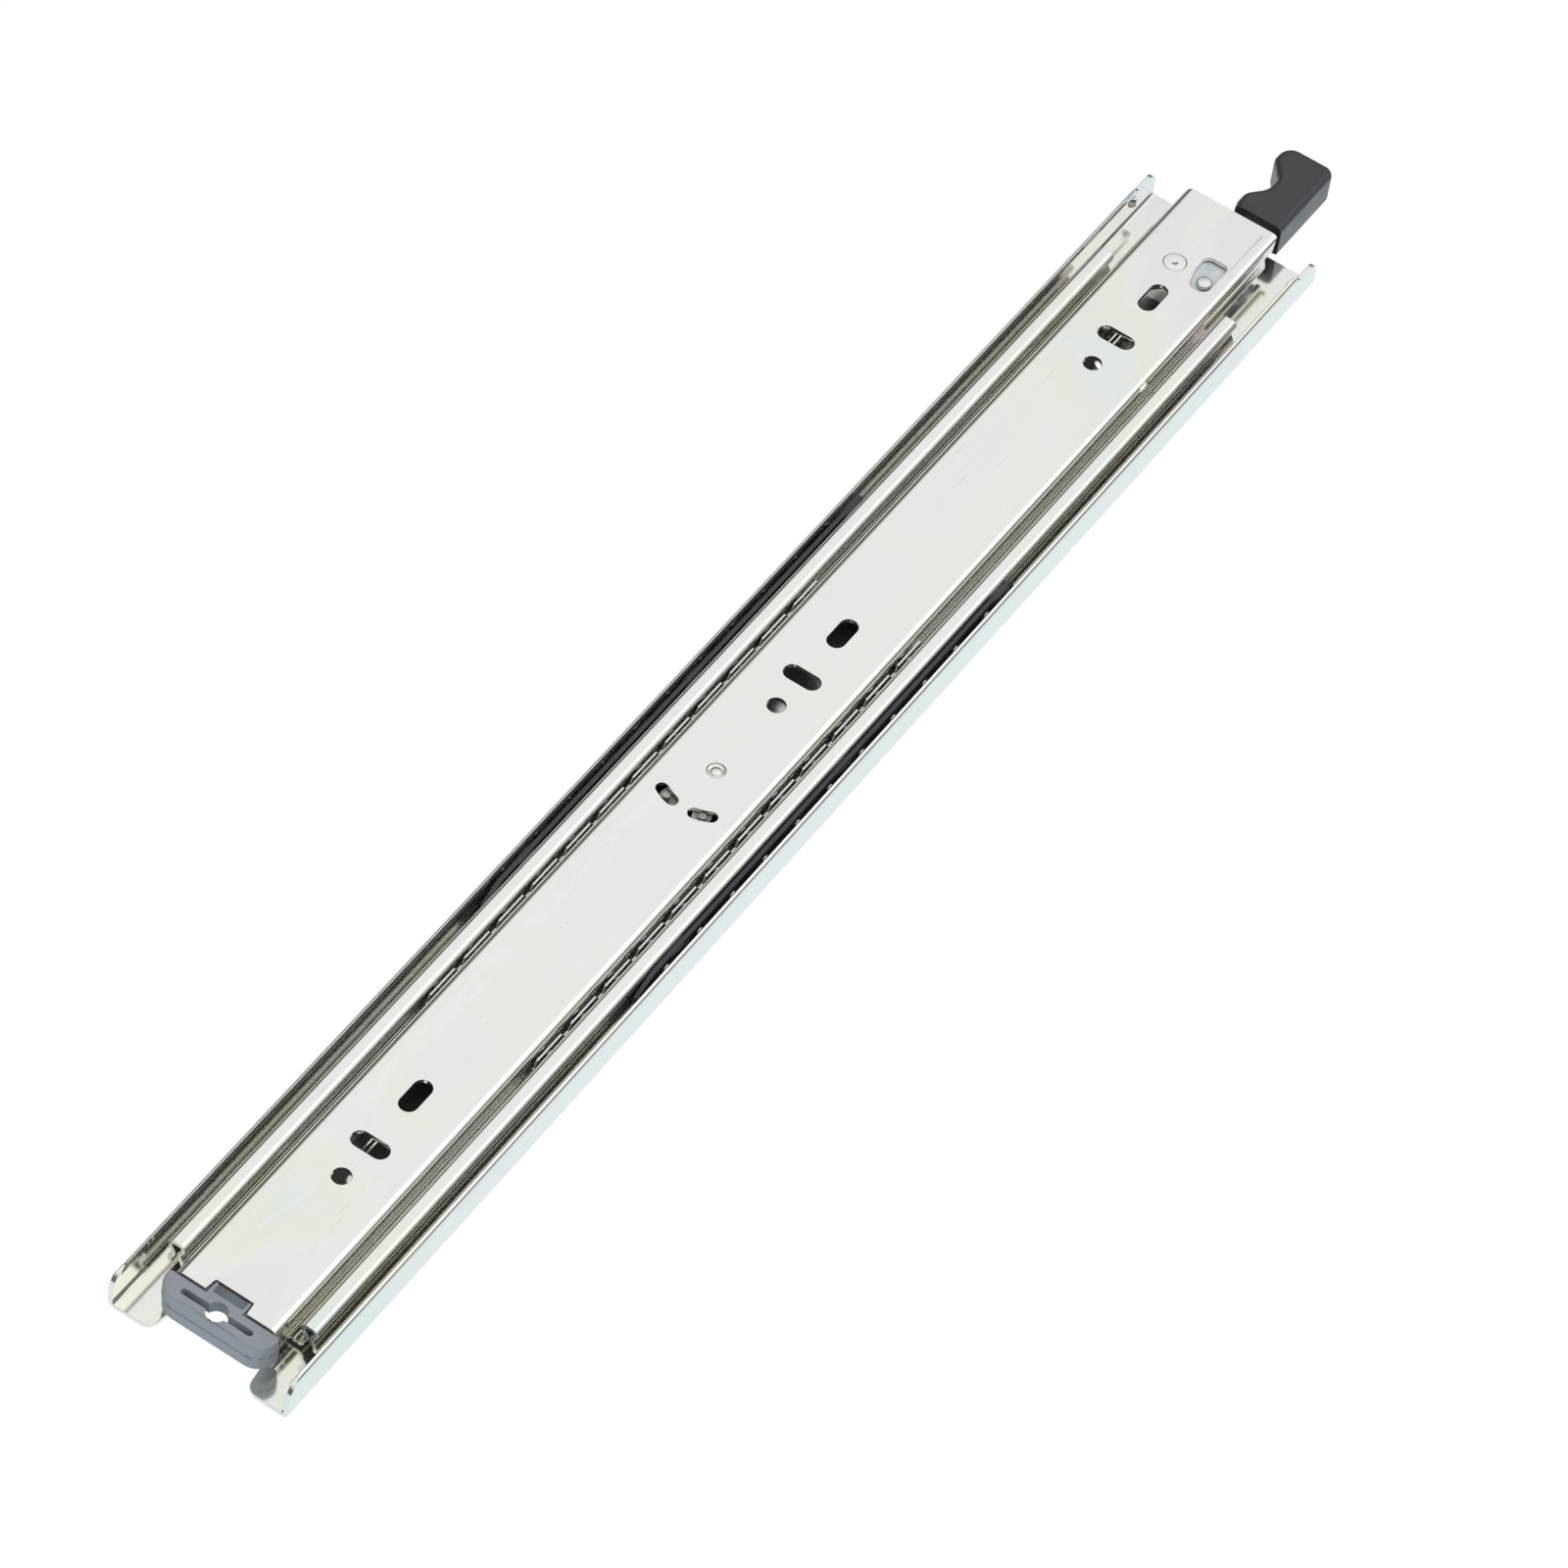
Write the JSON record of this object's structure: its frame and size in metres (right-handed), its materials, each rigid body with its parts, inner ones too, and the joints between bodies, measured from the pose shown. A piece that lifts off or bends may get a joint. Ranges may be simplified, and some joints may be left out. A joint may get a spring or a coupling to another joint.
{
  "type": "drawer slide",
  "caption": "Heavy-duty full-extension ball-bearing cabinet drawer slide, three nested zinc-plated steel members, lock lever with black grip at the front and grey rear bumper.",
  "frame": {"origin": "middle of the cabinet member's back face, the face that lies on the cabinet side", "axes": "+X along the slide towards the drawer front, the way it opens; +Y across it; +Z away from the cabinet side, towards the drawer side"},
  "size_m": [0.7027, 0.0762, 0.0191],
  "materials": {
    "zinc_steel": "bright zinc plate, faint passivation tint, drawn sheet with fine scuffs",
    "rivet_steel": "bright zinc plate, staked heads",
    "lever_steel": "zinc-plated pressed plate, bluish",
    "cage_steel": "pressed thin steel strip, oiled",
    "ball_steel": "polished bearing balls",
    "cage_plastic": "dark grey moulded ball cage, satin",
    "bumper_plastic": "grey moulded buffer, fine matte texture",
    "grip_plastic": "black moulded grip, satin with soft highlights",
    "spring_steel": "oiled spring wire"
  },
  "bodies": {
    "cabinet": {"cabinet_member": "zinc_steel", "lock_striker": "zinc_steel"},
    "outer_cage_left": {"outer_cage_left": "cage_plastic"},
    "outer_cage_right": {"outer_cage_right": "cage_plastic"},
    "intermediate": {"intermediate_member": "zinc_steel", "latch_keeper": "zinc_steel"},
    "inner_cage": {"inner_cage": "cage_steel", "inner_ball_left_01": "ball_steel", "inner_ball_left_02": "ball_steel", "inner_ball_left_03": "ball_steel", "inner_ball_left_04": "ball_steel", "inner_ball_left_05": "ball_steel", "inner_ball_left_06": "ball_steel", "inner_ball_left_07": "ball_steel", "inner_ball_left_08": "ball_steel", "inner_ball_left_09": "ball_steel", "inner_ball_left_10": "ball_steel", "inner_ball_left_11": "ball_steel", "inner_ball_left_12": "ball_steel", "inner_ball_right_01": "ball_steel", "inner_ball_right_02": "ball_steel", "inner_ball_right_03": "ball_steel", "inner_ball_right_04": "ball_steel", "inner_ball_right_05": "ball_steel", "inner_ball_right_06": "ball_steel", "inner_ball_right_07": "ball_steel", "inner_ball_right_08": "ball_steel", "inner_ball_right_09": "ball_steel", "inner_ball_right_10": "ball_steel", "inner_ball_right_11": "ball_steel", "inner_ball_right_12": "ball_steel"},
    "drawer": {"drawer_member": "zinc_steel", "rear_bumper": "bumper_plastic", "lever_pivot_rivet": "rivet_steel", "latch_rivet": "rivet_steel", "lever_return_spring": "spring_steel", "latch_spring": "spring_steel"},
    "lock_lever": {"lock_lever": "lever_steel", "lever_grip": "grip_plastic", "guide_pin": "rivet_steel"},
    "link_rod": {"link_rod": "lever_steel"},
    "rear_latch": {"rear_latch": "lever_steel"}
  },
  "joints": [
    {"name": "intermediate_slide", "type": "slide", "parent": "cabinet", "child": "intermediate", "axis": [1, 0, 0], "range_m": [0, 0.366]},
    {"name": "outer_cage_left_slide", "type": "slide", "parent": "cabinet", "child": "outer_cage_left", "axis": [1, 0, 0], "range_m": [0, 0.183]},
    {"name": "outer_cage_right_slide", "type": "slide", "parent": "cabinet", "child": "outer_cage_right", "axis": [1, 0, 0], "range_m": [0, 0.183]},
    {"name": "drawer_slide", "type": "slide", "parent": "intermediate", "child": "drawer", "axis": [1, 0, 0], "range_m": [0, 0.29]},
    {"name": "inner_cage_slide", "type": "slide", "parent": "intermediate", "child": "inner_cage", "axis": [1, 0, 0], "range_m": [0, 0.145]},
    {"name": "lock_lever_hinge", "type": "hinge", "parent": "drawer", "child": "lock_lever", "pos_m": [0.2903, 0.0033, 0], "axis": [0, 0, 1], "range_deg": [-6, 0], "stiffness_Nm_per_rad": 0.4, "springref_deg": 17.19},
    {"name": "link_rod_slide", "type": "slide", "parent": "drawer", "child": "link_rod", "axis": [1, 0, 0], "range_m": [-0.0015, 0]},
    {"name": "rear_latch_hinge", "type": "hinge", "parent": "drawer", "child": "rear_latch", "pos_m": [-0.0242, 0, 0], "axis": [0, 0, 1], "range_deg": [-7.9, 0]}
  ],
  "couplings": [
    {"joint": "outer_cage_left_slide", "follows": "intermediate_slide", "ratio": 0.5},
    {"joint": "outer_cage_right_slide", "follows": "intermediate_slide", "ratio": 0.5},
    {"joint": "inner_cage_slide", "follows": "drawer_slide", "ratio": 0.5},
    {"joint": "link_rod_slide", "follows": "lock_lever_hinge", "m_per_rad": 0.01418},
    {"joint": "rear_latch_hinge", "follows": "lock_lever_hinge", "ratio": 1.3033}
  ]
}
